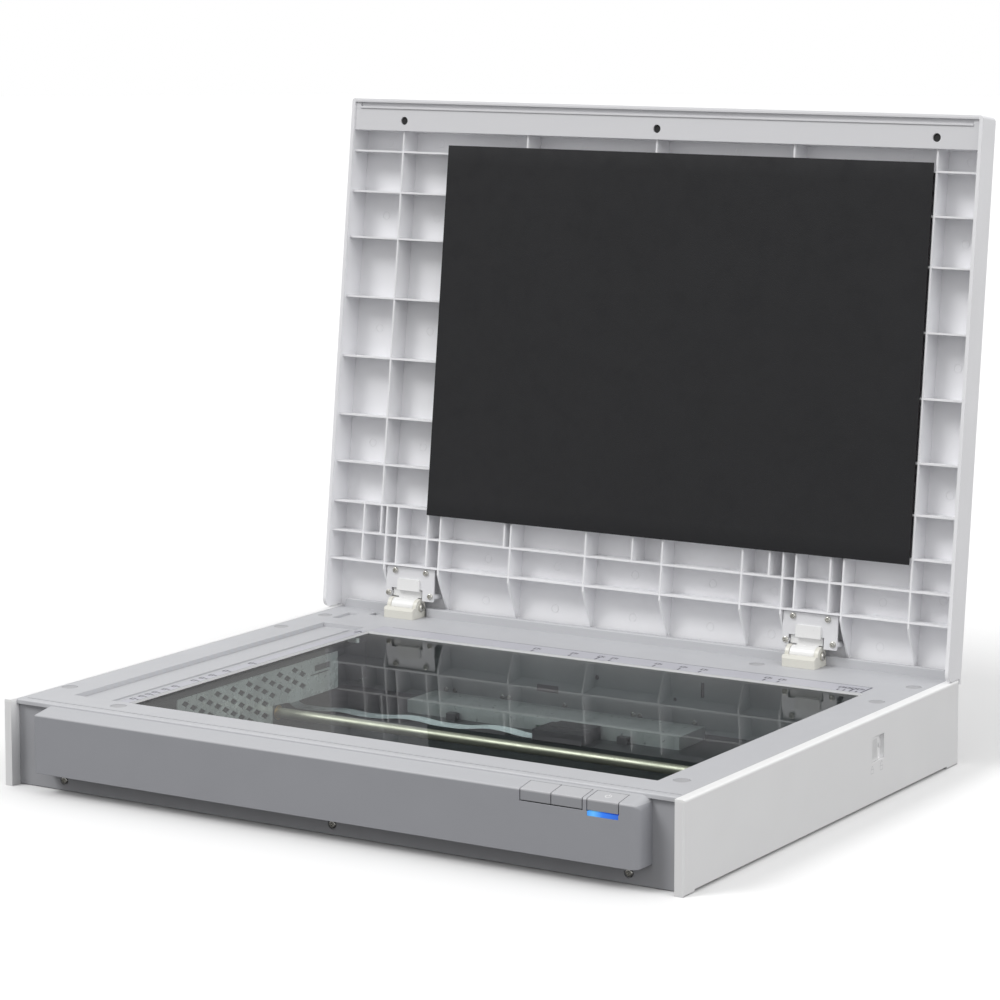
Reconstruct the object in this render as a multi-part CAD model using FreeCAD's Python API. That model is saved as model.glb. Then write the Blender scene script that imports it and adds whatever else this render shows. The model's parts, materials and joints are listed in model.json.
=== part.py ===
"""A3 flatbed scanner with a ribbed lid on two lifting hinges, shown open.

Working frame, in millimetres: the origin is the front-left corner of the scan area, level with the
deck's top face, +X runs along the long side, +Y to the back, +Z up. export() moves every solid to the
part's own frame: centred over its footprint, with the feet on z = 0.

The lid is drawn upright in its own axes (x, depth, height): depth 0 is the face of the document mat
and grows towards the outer skin, height 0 is the deck level. stand_lid() leans it back and places it.
"""

import FreeCAD, Part
import math
import os

from FreeCAD import Placement, Rotation, Vector

# ---- driving dimensions -------------------------------------------------------------------------
WINDOW_X = (-9.5, 432.0)    # opening over the glass: an A3 page's long side with its margins
WINDOW_Y = (0.0, 310.8)     # and its short side
LEFT_X = -95.5              # outer faces of the two side panels
RIGHT_X = 473.0
PANEL_FRONT_Y = -38.3
BASE_BACK_Y = 390.5
BASE_HEIGHT = 64.3          # table to deck
WALL = 2.5
PANEL_THICKNESS = 7.0
PANEL_TOP = 0.3

CASE_FRONT_Y = -29.0
CASE_FLOOR_Z = -60.3        # inner face of the floor
CASE_TOP_Z = -3.0
DECK_FRONT_Y = -32.0
DECK_THICKNESS = 3.0
ARCH_HEIGHT = 2.2           # gap under the side covers, between their foot-like ends
SEAM_WIDTH = 1.6
SEAM_DEPTH = 1.4
POCKET_X = (-60.3, -19.5)   # shallow tray for a paper guide, with a groove along its right side
POCKET_Y = (0.0, 321.0)
POCKET_DEPTH = 3.3
GROOVE_X = (-34.5, -21.0)
GROOVE_DEPTH = 4.3
GLASS_TOP = -2.0
GLASS_THICKNESS = 3.0
GLASS_LAP = 6.0

RIDGE_Y = 386.5
RIDGE_THICKNESS = 3.0
RIDGE_HEIGHT = 7.5
THICK_RIDGE_X = (0.0, 333.0)    # between the hinges the ridge stands further forward
THICK_RIDGE_Y = 383.0

BAR_X = (-60.5, 444.5)
BAR_FRONT_Y = -50.0
BAR_Z = (-48.0, -1.0)
BAR_FRONT_TOP = -4.6        # the top slopes down to the front
BAR_CORNER_R = 6.0          # upright front corners and the upper edges of the two ends
BAR_TOP_R = 1.5             # upper front edge
BUTTON_FLOOR = -12.2
BUTTON_DEPTH = 14.0
BUTTON_TRAVEL = 0.4
BUTTON_GAP = 0.35
BUTTON_SPANS = {"scan_button": (355.7, 379.6), "copy_button": (379.6, 403.5), "power_button": (407.0, 430.9)}

ROD_Y, ROD_Z, ROD_R = 190.0, -44.0, 4.0
CARRIAGE_HOME_X = -77.0
CARRIAGE_WIDTH = 65.0
CARRIAGE_Y = (-6.0, 312.0)
CARRIAGE_Z = (-38.0, -10.0)
CARRIAGE_WALL = 2.0
COVER_TOP = -8.5
CARRIAGE_TRAVEL = 457.0

BELT_Y = -13.5
BELT_Z = (-38.0, -32.0)
BELT_R = 5.0                # inner radius of the belt at the pulleys
BELT_THICKNESS = 1.0
PULLEY_R = 4.7
PULLEY_X = {"drive": -70.0, "idler": 448.0}
MOTOR_R = 12.2
MOTOR_TOP = -43.0

HINGE_Y, HINGE_Z = 378.5, 8.5
HINGE_CENTRES = (-14.0, 353.0)
HINGE_BLOCKS = tuple((x - 17.5, x + 11.0) for x in HINGE_CENTRES)
HINGE_PIN_R = 2.0
HINGE_EAR = 3.5
HINGE_EAR_R = 7.0
HINGE_KNUCKLE_R = 6.6
LEG_Y = (372.0, 385.0)
LEG_BOTTOM = -42.0
LEG_INSET = 1.5

LID_LEAN = 6.556            # degrees back from upright
LID_PLANE_Y = 371.4         # where the mat's face meets the deck level
LID_TOP = 426.0
LID_BOTTOM = -0.8
LID_BACK = 24.0
LID_RIM = -1.5
LID_SKIN = 2.5
LID_SKIRT = 3.0
LID_EDGE_R = 4.0            # rounding of the lid's upper back edge
RIB = 1.6
RIB_FRONT = 2.2
BAND_BOTTOM = 400.0
MAT_X = (1.1, 434.5)
MAT_H = (86.2, 389.6)
MAT_THICKNESS = 1.2
ROW_RIBS = (90.6, 123.8, 163.0, 211.7, 261.4, 310.9, 349.1, 382.8)
LONG_RIBS = (42.6, 66.2)
COLUMN_RIBS = (-44.6, 75.3, 194.5, 316.0, 436.2)
FOOT_COLUMNS = (-39.0, 14.0, 81.5, 151.6, 221.5, 292.5, 328.0, 379.6, 436.2)
SHORT_COLUMNS = (-61.7, -27.8, 1.7, 339.0, 368.4)
BUFFER_X = (-43.7, 194.8, 435.5)
BUFFER_H = 408.4
BUFFER_R = 3.3
PLATE_DEPTH = (5.0, 6.5)
PLATE_H = (14.8, 41.2)
PLATE_HALF = 23.5
PLATES_X = tuple((x - PLATE_HALF, x + PLATE_HALF) for x in HINGE_CENTRES)
CUT_OUT_TOP = 23.6

# ---- the part's own frame -----------------------------------------------------------------------
LEAN = math.radians(LID_LEAN)
LID_REACH_Y = (LID_PLANE_Y + (LID_TOP - LID_EDGE_R) * math.sin(LEAN) + (LID_BACK - LID_EDGE_R) * math.cos(LEAN)
               + LID_EDGE_R)
CENTRE = Vector((LEFT_X + RIGHT_X) / 2, (BAR_FRONT_Y + LID_REACH_Y) / 2, -BASE_HEIGHT)
CASE_X = (LEFT_X + PANEL_THICKNESS, RIGHT_X - PANEL_THICKNESS)
GROUND_Z = -BASE_HEIGHT
CASE_BOTTOM_Z = CASE_FLOOR_Z - WALL
X, Y, Z = Vector(1, 0, 0), Vector(0, 1, 0), Vector(0, 0, 1)


# ---- small building blocks ----------------------------------------------------------------------
def box(x, y, z):
    """Box from three (low, high) pairs."""
    return Part.makeBox(x[1] - x[0], y[1] - y[0], z[1] - z[0], Vector(x[0], y[0], z[0]))


def rod(radius, start, direction, length):
    return Part.makeCylinder(radius, length, Vector(*start), direction)


def ring(outer, inner, start, direction, length):
    return rod(outer, start, direction, length).cut(rod(inner, start, direction, length))


def prism(points, direction):
    """Solid swept along direction from a closed outline of points."""
    corners = [Vector(*p) for p in points]
    return Part.Face(Part.makePolygon(corners + corners[:1])).extrude(direction)


def fuse(shapes):
    """One clean solid from overlapping shapes."""
    shapes = list(shapes)
    return shapes[0].multiFuse(shapes[1:]).removeSplitter() if len(shapes) > 1 else shapes[0]


def group(shapes):
    """Several separate solids kept in one node."""
    return Part.makeCompound(list(shapes))


def cut(shape, tools):
    return shape.cut(list(tools))


def fillet(shape, radius, chosen):
    """Rounds the edges for which chosen(edge) is true."""
    edges = [e for e in shape.Edges if chosen(e)]
    return shape.makeFillet(radius, edges) if edges else shape


def along(edge, axis):
    """True for a straight edge along axis."""
    a, b = edge.Vertexes[0].Point, edge.Vertexes[-1].Point
    span = b.sub(a)
    return span.Length > 1e-6 and abs(abs(span.dot(axis)) - span.Length) < 1e-6


def middle(edge):
    return edge.BoundBox.Center


def pan_screw(start, direction, head_r=3.0, head_h=1.8, shank_r=1.4, shank=5.0):
    """Pan-head screw with a cross recess; the head stands along direction from start."""
    head = rod(head_r, start, direction, head_h)
    head = fillet(head, head_h * 0.6,
                  lambda e: abs((middle(e) - Vector(*start)).dot(direction) - head_h) < 1e-6)
    body = head.fuse(rod(shank_r, start, direction * -1, shank))
    side = Vector(direction.y, direction.z, direction.x)
    other = direction.cross(side)
    deep = head_h * 0.55
    foot = Vector(*start) + direction * (head_h - deep)
    slots = []
    for long_way, short_way in ((side, other), (other, side)):
        a = foot - long_way * head_r * 0.55 - short_way * 0.35
        far_side = a + long_way * head_r * 1.1
        edge = [a, far_side, far_side + short_way * 0.7, a + short_way * 0.7]
        slots.append(prism([tuple(p) for p in edge], direction * (deep + 1)))
    return cut(body, slots)


def export(name, shape):
    """Writes one node in the part's own frame."""
    shape = shape.copy()
    shape.translate(CENTRE * -1)
    assert shape.isValid() and shape.Volume > 0, name
    shape.exportStep(f"parts/{name}.step")


def stand_lid(shape):
    """From the lid's own upright axes to its open place on the base."""
    shape = shape.copy()
    shape.Placement = Placement(Vector(0, LID_PLANE_Y, 0), Rotation(X, -LID_LEAN)).multiply(shape.Placement)
    return shape


def lid_axis():
    """Depth and height of the hinge axis in the lid's own axes."""
    back, up = HINGE_Y - LID_PLANE_Y, HINGE_Z
    return (back * math.cos(LEAN) - up * math.sin(LEAN), back * math.sin(LEAN) + up * math.cos(LEAN))


# ---- base: covers -------------------------------------------------------------------------------
def side_panel(outer_x, inner_x):
    """End cover: a thin outer wall with front, top, bottom and rear returns, on two foot-like ends."""
    low, high = sorted((outer_x, inner_x))
    shell = box((low, high), (PANEL_FRONT_Y, BASE_BACK_Y), (GROUND_Z, PANEL_TOP))
    shell = fillet(shell, 1.5, lambda e: abs(middle(e).x - outer_x) < 1e-6)
    hollow_x = (low + WALL, high + 1) if outer_x < inner_x else (low - 1, high - WALL)
    hollow = box(hollow_x, (CASE_FRONT_Y, BASE_BACK_Y - WALL), (CASE_BOTTOM_Z, CASE_TOP_Z))
    arch = box((low - 1, high + 1), (PANEL_FRONT_Y + 15, BASE_BACK_Y - 20),
               (GROUND_Z - 1, GROUND_Z + ARCH_HEIGHT))
    return cut(shell, [hollow, arch])


LOCK_Y = (241.0, 260.6)
LOCK_Z = (-32.6, -14.4)
LOCK_TRAVEL = 8.8
LOCK_KNOB = 10.4


def right_side_panel():
    """Right cover with the recess of the transport lock."""
    panel = side_panel(RIGHT_X, CASE_X[1])
    tray = box((RIGHT_X - 4.6, RIGHT_X - 1), (LOCK_Y[0] - 1.2, LOCK_Y[1] + 1.2),
               (LOCK_Z[0] - 1.2, LOCK_Z[1] + 1.2))
    recess = box((RIGHT_X - 3.4, RIGHT_X + 1), LOCK_Y, LOCK_Z)
    slot = box((RIGHT_X - 6, RIGHT_X), (LOCK_Y[0] + 2, LOCK_Y[1] - 2), (-25.0, -22.0))
    return cut(panel.fuse(tray), [recess, slot])


def lock_slider():
    """Square thumb piece with grip ribs and a tongue through the recess floor."""
    y = (LOCK_Y[0] + 0.2, LOCK_Y[0] + 0.2 + LOCK_KNOB)
    knob = box((RIGHT_X - 3.3, RIGHT_X - 0.6), y, (LOCK_Z[0] + 0.3, LOCK_Z[1] - 0.3))
    grips = [box((RIGHT_X - 0.9, RIGHT_X), (y[0] + 2 + 2 * i, y[0] + 2.6 + 2 * i),
                 (LOCK_Z[0] + 2, LOCK_Z[1] - 2))
             for i in range(4)]
    tongue = box((RIGHT_X - 5.6, RIGHT_X - 3.3), (LOCK_Y[0] + 2.3, LOCK_Y[0] + 6.3), (-24.7, -22.3))
    return cut(knob.fuse(tongue), grips)


def bottom_case():
    """Tub: floor and four walls, with screw bosses and openings for the ports."""
    outer = box(CASE_X, (CASE_FRONT_Y, BASE_BACK_Y), (CASE_BOTTOM_Z, CASE_TOP_Z))
    inner = box((CASE_X[0] + WALL, CASE_X[1] - WALL), (CASE_FRONT_Y + WALL, BASE_BACK_Y - WALL),
                (CASE_FLOOR_Z, CASE_TOP_Z + 1))
    skirt = box(CASE_X, (CASE_FRONT_Y, CASE_FRONT_Y + WALL), (GROUND_Z + 0.5, CASE_BOTTOM_Z))
    tub = fuse([cut(outer, [inner]), skirt])
    bosses = [rod(2.8, (x, y, CASE_FLOOR_Z), Z, CASE_TOP_Z - CASE_FLOOR_Z) for x, y in CASE_BOSSES]
    tub = fuse([tub] + bosses)
    openings = [box((x0, x1), (BASE_BACK_Y - WALL - 1, BASE_BACK_Y + 1), (z0, z1))
                for x0, x1, z0, z1 in PORT_CUTS]
    openings += [rod(1.5, (x, CASE_FRONT_Y - 1, BAR_SCREW_Z), Y, WALL + 2) for x in BAR_SCREWS]
    openings += [rod(3.6, (x, CASE_FRONT_Y - 1, BAR_SCREW_Z), Y, 1.9) for x in BAR_SCREWS]
    openings.append(box((BUTTON_SPANS["scan_button"][0] - 4, BUTTON_SPANS["power_button"][1] + 4),
                        (CASE_FRONT_Y - 1, CASE_FRONT_Y + WALL + 1), (-30.0, -14.0)))
    slots = [box((x, x + 14), (80 + 12 * i, 84 + 12 * i), (CASE_BOTTOM_Z - 1, CASE_FLOOR_Z + 1))
             for x in (300, 330) for i in range(4)]
    return cut(tub, openings + slots)


CASE_BOSSES = ((-35.0, -23.6), (438.0, -23.6), (-80.0, 383.0), (458.0, 383.0), (160.0, 383.0))
BAR_SCREWS = (-47.1, 190.4, 426.9)
BAR_SCREW_Z = -56.6
PORT_CUTS = ((30.0, 40.0, -54.0, -42.0), (52.0, 65.0, -54.0, -42.0))


def rear_ridge():
    """Upstand along the deck's back edge with sloping ends, thicker between the hinges."""
    slope = RIDGE_HEIGHT * 0.4
    low, high = LEFT_X + 10.5, RIGHT_X - 8
    outline = [(low, RIDGE_Y, 0), (high, RIDGE_Y, 0), (high - slope, RIDGE_Y, RIDGE_HEIGHT),
               (low + slope, RIDGE_Y, RIDGE_HEIGHT)]
    thick = box(THICK_RIDGE_X, (THICK_RIDGE_Y, RIDGE_Y + RIDGE_THICKNESS), (0, RIDGE_HEIGHT))
    ridge = fuse([prism(outline, Y * RIDGE_THICKNESS), thick])
    return fillet(ridge, 1.2, lambda e: along(e, X) and middle(e).z > RIDGE_HEIGHT - 0.1)


def top_frame():
    """Deck with the window, a paper-guide pocket, a front seam, a glass seat and a rear ridge."""
    deck = box(CASE_X, (DECK_FRONT_Y, BASE_BACK_Y), (-DECK_THICKNESS, 0))
    deck = fillet(deck, 1.2, lambda e: along(e, X) and middle(e).y < DECK_FRONT_Y + 1 and middle(e).z > -1)
    under = box((POCKET_X[0] - 1.5, POCKET_X[1] + 1.5), (POCKET_Y[0] - 1.5, POCKET_Y[1] + 1.5),
                (GLASS_TOP - GLASS_THICKNESS, -DECK_THICKNESS))
    lip = box(CASE_X, (DECK_FRONT_Y, CASE_FRONT_Y), (-DECK_THICKNESS - 0.5, -DECK_THICKNESS))
    frame = fuse([deck, under, rear_ridge(), lip])
    window = [box(WINDOW_X, WINDOW_Y, (-9, 9)),
              box((WINDOW_X[0] - GLASS_LAP, WINDOW_X[1] + GLASS_LAP),
                  (WINDOW_Y[0] - GLASS_LAP, WINDOW_Y[1] + GLASS_LAP), (-9, GLASS_TOP))]
    hollows = [box(POCKET_X, POCKET_Y, (-POCKET_DEPTH, 1)),
               box(GROOVE_X, (POCKET_Y[0] + 2, POCKET_Y[1] - 2), (-GROOVE_DEPTH, 1)),
               box((-66.0, -56.0), (342.0, 366.0), (-1.8, 1)),
               box((-47.0, -40.5), (368.0, 378.0), (-1.8, 1)),
               box((LEFT_X + 12, RIGHT_X - 9), (-26.0, -26.0 + SEAM_WIDTH), (-SEAM_DEPTH, 1))]
    hollows += [box(x, y, (-SCALE_THICKNESS, 1)) for x, y in (REAR_SCALE, LEFT_SCALE)]
    hollows += [rod(CAP_R, (x, y, -CAP_DEPTH), Z, 2) for x, y in CAP_PLACES]
    hollows += [box((a + LEG_INSET - 0.3, b - LEG_INSET + 0.3), (LEG_Y[0] - 0.3, LEG_Y[1] + 0.3), (-9, 9))
                for a, b in HINGE_BLOCKS]
    return cut(frame, window + hollows)


CAP_R = 6.0
CAP_DEPTH = 1.0
CAP_PLACES = ((-80.7, 20.0), (-10.0, -11.5), (-79.9, 289.3), (-76.6, 347.3), (445.1, 9.3), (452.0, 291.8),
              (453.9, 351.2), (316.5, 362.7))
SCALE_THICKNESS = 0.4
REAR_SCALE = ((-9.4, 430.0), (312.2, 334.0))
LEFT_SCALE = ((-18.7, -10.4), (0.6, 310.4))


def size_scale(place):
    """Thin printed strip let into the deck beside the glass."""
    x, y = place
    return box((x[0] + 0.1, x[1] - 0.1), (y[0] + 0.1, y[1] - 0.1), (-SCALE_THICKNESS, -0.05))


def front_bar():
    """Control bar: a hollow, sloping-topped box on the front wall with three button notches."""
    def section(inset):
        return [(BAR_X[0] + inset, BAR_FRONT_Y + inset, BAR_Z[0] + inset),
                (BAR_X[0] + inset, BAR_FRONT_Y + inset, BAR_FRONT_TOP - inset),
                (BAR_X[0] + inset, CASE_FRONT_Y + (1 if inset else 0), BAR_Z[1] - inset),
                (BAR_X[0] + inset, CASE_FRONT_Y + (1 if inset else 0), BAR_Z[0] + inset)]
    body = prism(section(0), X * (BAR_X[1] - BAR_X[0]))
    top = Vector(0, CASE_FRONT_Y - BAR_FRONT_Y, BAR_Z[1] - BAR_FRONT_TOP).normalize()
    body = fillet(body, BAR_CORNER_R,
                  lambda e: along(e, top) or (along(e, Z) and middle(e).y < BAR_FRONT_Y + 1))
    body = fillet(body, BAR_TOP_R, lambda e: (along(e, X) and middle(e).y < BAR_FRONT_Y + 1
                                              and middle(e).z > BUTTON_FLOOR))
    body = cut(body, [box((BAR_X[0] - 1, BAR_X[1] + 1), (CASE_FRONT_Y, 0), (BAR_Z[0] - 1, 1))])
    thick_end = 1.6 * WALL
    hollow = prism(section(WALL), X * (BAR_X[1] - BAR_X[0] - 2 * WALL))
    hollow = hollow.common(box((BAR_X[0] + thick_end, BAR_X[1] - thick_end), (BAR_FRONT_Y, 0), BAR_Z))
    spans = [(BUTTON_SPANS["scan_button"][0], BUTTON_SPANS["copy_button"][1]), BUTTON_SPANS["power_button"]]
    floor = BUTTON_FLOOR - BUTTON_TRAVEL - BUTTON_GAP
    notches = [box((a - BUTTON_GAP, b + BUTTON_GAP),
                   (BAR_FRONT_Y - 1, BAR_FRONT_Y + BUTTON_DEPTH + BUTTON_GAP), (floor, 2))
               for a, b in spans]
    pipe = box(LED_X, (BAR_FRONT_Y - 1, BAR_FRONT_Y + WALL + 1), LED_Z)
    grooves = [rod(4.2, (x, BAR_FRONT_Y - 1, BAR_SCREW_Z), Y, 30) for x in BAR_SCREWS]
    under_deck = box((BAR_X[0] - 1, BAR_X[1] + 1), (DECK_FRONT_Y - 0.1, 0), (-DECK_THICKNESS - 0.6, 1))
    return cut(body, [hollow, pipe, under_deck] + notches + grooves)


LED_X = (407.2, 430.7)
LED_Z = (-16.1, -12.9)


def button(name):
    """Key cap that wraps over the bar's front edge, with a stem down to its switch."""
    a, b = BUTTON_SPANS[name]
    a, b = a + BUTTON_GAP, b - BUTTON_GAP
    back = BAR_FRONT_Y + BUTTON_DEPTH
    rise = (BAR_Z[1] - BAR_FRONT_TOP) / (CASE_FRONT_Y - BAR_FRONT_Y)
    cap = prism([(a, BAR_FRONT_Y, BUTTON_FLOOR), (a, BAR_FRONT_Y, BAR_FRONT_TOP),
                 (a, back, BAR_FRONT_TOP + rise * BUTTON_DEPTH), (a, back, BUTTON_FLOOR)], X * (b - a))
    cap = fillet(cap, 1.0, lambda e: (along(e, X) and middle(e).y < BAR_FRONT_Y + 0.1
                                      and middle(e).z > BUTTON_FLOOR + 1))
    hollow = box((a + 1.5, b - 1.5), (BAR_FRONT_Y + 1.8, back - 1.5), (BUTTON_FLOOR - 1, BAR_FRONT_TOP - 1.8))
    stem = box(((a + b) / 2 - 2, (a + b) / 2 + 2), (STEM_Y - 2, STEM_Y + 2),
               (SWITCH_TOP + 0.05, BAR_FRONT_TOP - 1.5))
    return cut(cap, [hollow]).fuse(stem).removeSplitter()


STEM_Y = BAR_FRONT_Y + 8.0
SWITCH_TOP = -20.0
SWITCH_HEIGHT = 3.5
BOARD = 1.6


def led_light_pipe():
    """Clear bar under the power key, flush with the bar's front, with a foot towards the board."""
    face = box((LED_X[0] + 0.1, LED_X[1] - 0.1), (BAR_FRONT_Y, BAR_FRONT_Y + WALL + 2),
               (LED_Z[0] + 0.1, LED_Z[1] - 0.1))
    foot = box((418.0, 420.0), (BAR_FRONT_Y + WALL + 0.2, BAR_FRONT_Y + WALL + 2),
               (SWITCH_TOP - SWITCH_HEIGHT + 1.7, LED_Z[0] + 0.1))
    return face.fuse(foot).removeSplitter()


def button_switches():
    """Tact switches with a round plunger each, one under every key stem."""
    switches = []
    for a, b in BUTTON_SPANS.values():
        centre = (a + b) / 2
        housing = box((centre - 3, centre + 3), (STEM_Y - 3, STEM_Y + 3),
                      (SWITCH_TOP - SWITCH_HEIGHT, SWITCH_TOP - BUTTON_TRAVEL - 0.2))
        plunger = rod(1.6, (centre, STEM_Y, SWITCH_TOP - BUTTON_TRAVEL - 0.3), Z, BUTTON_TRAVEL * 0.3)
        switches.append(housing.fuse(plunger))
    return group(switches)


def button_board():
    top = SWITCH_TOP - SWITCH_HEIGHT
    return box((350.0, 436.0), (BAR_FRONT_Y + WALL + 0.5, CASE_FRONT_Y - 0.5), (top - BOARD, top))


# ---- base: inside -------------------------------------------------------------------------------
def rear_wall_plate():
    """Folded sheet wall between the scan bay and the hinge bay, with a slot and a hole."""
    wall = box((CASE_X[0] + WALL, CASE_X[1] - WALL), (362.0, 363.0), (CASE_FLOOR_Z, CASE_TOP_Z))
    tools = [box((118.6, 139.0), (361, 364), (-44.0, -38.0)), rod(2.0, (174.5, 361, -26.6), Y, 3),
             box((268.0, 271.0), (361, 364), (-32.0, -20.0)), rod(1.6, (245.0, 361, -36.0), Y, 3)]
    tools += [rod(1.3, (x, 361, WALL_SCREW_Z), Y, 3) for x in WALL_SCREWS]
    return cut(wall, tools)


WALL_SCREWS = (33.0, 41.5, 87.0, 93.0, 145.0, 208.0, 214.0, 263.0, 350.0, 356.0)
WALL_SCREW_Z = -52.4


def corner_bracket():
    """Slotted angle bracket screwed to the rear wall beside the home position."""
    leaf = box((-63.0, -49.5), (360.5, 362.0), (-57.0, -31.0))
    shelf = box((-63.0, -49.5), (346.0, 360.5), (-32.5, -31.0))
    slot = box((-60.5, -58.0), (360, 363), (-48.0, -36.0))
    return cut(fuse([leaf, shelf]), [slot, rod(1.4, (-53.5, 360, -42.0), Y, 3)])


SHIELD_X, SHIELD_Y, SHIELD_TOP = (33.0, 281.0), (304.0, 345.0), -50.0


def mainboard_shield():
    """Shallow folded lid over the main board, open underneath."""
    shell = box(SHIELD_X, SHIELD_Y, (CASE_FLOOR_Z, SHIELD_TOP))
    hollow = box((SHIELD_X[0] + 1, SHIELD_X[1] - 1), (SHIELD_Y[0] + 1, SHIELD_Y[1] - 1),
                 (CASE_FLOOR_Z - 1, SHIELD_TOP - 1))
    cable_gap = box((SHIELD_X[0] + 120, SHIELD_X[0] + 150), (SHIELD_Y[0] - 1, SHIELD_Y[0] + 2),
                    (CASE_FLOOR_Z - 1, -56.0))
    return cut(shell, [hollow, cable_gap])


def main_board():
    board = box((SHIELD_X[0] + 3, SHIELD_X[1] - 3), (SHIELD_Y[0] + 2.5, SHIELD_Y[1] - 2.5), (-58.3, -56.7))
    posts = [rod(2.0, (x, y, CASE_FLOOR_Z), Z, 2.5) for x in (42, 272) for y in (309, 340)]
    chips = [box((60 + 45 * i, 78 + 45 * i), (311, 327), (-56.7, -55.0)) for i in range(5)]
    return fuse([board] + posts + chips)


def port_board():
    """Small board in the hinge bay that carries the two rear sockets."""
    return box((22.0, 74.0), (366.0, 386.0), (-55.4, -53.8))


def power_inlet():
    """Barrel socket with its centre pin."""
    body = box((30.2, 39.8), (376.0, 390.2), (-53.8, -42.2))
    hole = ring(2.9, 1.0, (35.0, 380.0, -48.0), Y, 12)
    return cut(body, [hole])


def data_port():
    """Square-fronted data socket with its inner tongue."""
    body = box((52.2, 64.8), (374.0, 390.2), (-53.8, -42.2))
    mouth = box((54.0, 63.0), (380.0, 392.0), (-52.2, -44.0))
    tongue = box((55.8, 61.2), (379.0, 389.0), (-49.6, -46.4))
    return body.cut(mouth).fuse(tongue)


def guide_rod():
    shaft = rod(ROD_R, (CASE_X[0] + WALL + 1, ROD_Y, ROD_Z), X, CASE_X[1] - CASE_X[0] - 2 * WALL - 2)
    return shaft.makeChamfer(0.5, [e for e in shaft.Edges if not along(e, X)])


def rod_holders():
    """Two blocks on the floor that carry the ends of the guide rod."""
    blocks = []
    for x in ((CASE_X[0] + WALL, CASE_X[0] + WALL + 4.0), (CASE_X[1] - WALL - 8.0, CASE_X[1] - WALL)):
        block = box(x, (ROD_Y - 8, ROD_Y + 8), (CASE_FLOOR_Z, ROD_Z + 7))
        start = CASE_X[0] + WALL + 1
        bore = rod(ROD_R + 0.02, (start, ROD_Y, ROD_Z), X, CASE_X[1] - CASE_X[0] - 2 * WALL - 2)
        blocks.append(cut(block, [bore]))
    return group(blocks)


def cable_clips():
    """Two small saddles on the floor in front of the shield, each with a slot for a wire."""
    clips = []
    for x in (74.0, 230.0):
        saddle = box((x, x + 9), (297.0, 303.0), (CASE_FLOOR_Z, -54.6))
        clips.append(cut(saddle, [box((x - 1, x + 10), (298.2, 301.8), (-58.6, -56.2))]))
    return group(clips)


def calibration_strip():
    under = GLASS_TOP - GLASS_THICKNESS
    return box((-36.0, -26.0), (2.0, 298.0), (under - 0.6, under))


def stepper_motor():
    """Round stepper that stands on the floor, with two flange ears and a raised pilot."""
    x, y = PULLEY_X["drive"], BELT_Y
    body = rod(MOTOR_R, (x, y, CASE_FLOOR_Z), Z, MOTOR_TOP - CASE_FLOOR_Z)
    body = fillet(body, 1.0, lambda e: abs(middle(e).z - MOTOR_TOP) < 1e-6)
    ears = [box((x - 14.5, x + 32), (y - 3.5, y + 3.5), (CASE_FLOOR_Z, CASE_FLOOR_Z + 1.2))]
    pilot = rod(4.0, (x, y, MOTOR_TOP - 0.1), Z, 1.6)
    bore = rod(1.7, (x, y, MOTOR_TOP - 12), Z, 20)
    return cut(fuse([body, pilot] + ears), [bore])


def motor_shaft():
    return rod(1.5, (PULLEY_X["drive"], BELT_Y, MOTOR_TOP - 11), Z, BELT_Z[1] + 2 - MOTOR_TOP + 11)


def toothed_pulley(x, bore):
    """Belt pulley with two flanges and a ring of teeth between them."""
    z0, z1 = BELT_Z[0] - 0.3, BELT_Z[1] + 0.3
    hub = rod(PULLEY_R - 0.7, (x, BELT_Y, z0), Z, z1 - z0)
    flanges = [rod(PULLEY_R + 1.9, (x, BELT_Y, z), Z, 0.8) for z in (z0 - 0.8, z1)]
    teeth = []
    count = 16
    for i in range(count):
        tooth = box((-0.5, 0.5), (PULLEY_R - 1.2, PULLEY_R), (z0, z1))
        tooth.rotate(Vector(0, 0, 0), Z, 360.0 * i / count)
        tooth.translate(Vector(x, BELT_Y, 0))
        teeth.append(tooth)
    return cut(fuse([hub] + flanges + teeth), [rod(bore, (x, BELT_Y, z0 - 5), Z, 20)])


def idler_bracket():
    """Post on the floor with the idler's pin on top and a hook for the spring."""
    x = PULLEY_X["idler"]
    post = box((x - 5.5, x + 5.5), (BELT_Y - 5.5, BELT_Y + 5.5), (CASE_FLOOR_Z, -41.0))
    neck = rod(2.6, (x, BELT_Y, -41.0), Z, 1.2)
    pin = rod(1.5, (x, BELT_Y, -41.0), Z, BELT_Z[1] + 2 + 41.0)
    return fuse([post, neck, pin])


def drive_belt():
    """Closed belt loop around the two pulleys, running along the front of the bay."""
    x0, x1 = sorted(PULLEY_X.values())
    def loop(radius):
        straight = box((x0, x1), (BELT_Y - radius, BELT_Y + radius), BELT_Z)
        ends = [rod(radius, (x, BELT_Y, BELT_Z[0]), Z, BELT_Z[1] - BELT_Z[0]) for x in (x0, x1)]
        return fuse([straight] + ends)
    return loop(BELT_R + BELT_THICKNESS).cut(loop(BELT_R))


def tension_spring():
    """Coil spring beside the idler that keeps the belt tight."""
    wire, coil, pitch, turns = 0.35, 2.0, 1.1, 7
    helix = Part.makeHelix(pitch, pitch * turns, coil)
    start = Part.Wire(Part.makeCircle(wire, Vector(coil, 0, 0), Vector(0, 1, 0)))
    spring = Part.Wire(helix.Edges).makePipeShell([start], True, True)
    spring.rotate(Vector(0, 0, 0), Y, 90)
    spring.translate(Vector(PULLEY_X["idler"] + 6.2, BELT_Y, -50.0))
    return spring


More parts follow.
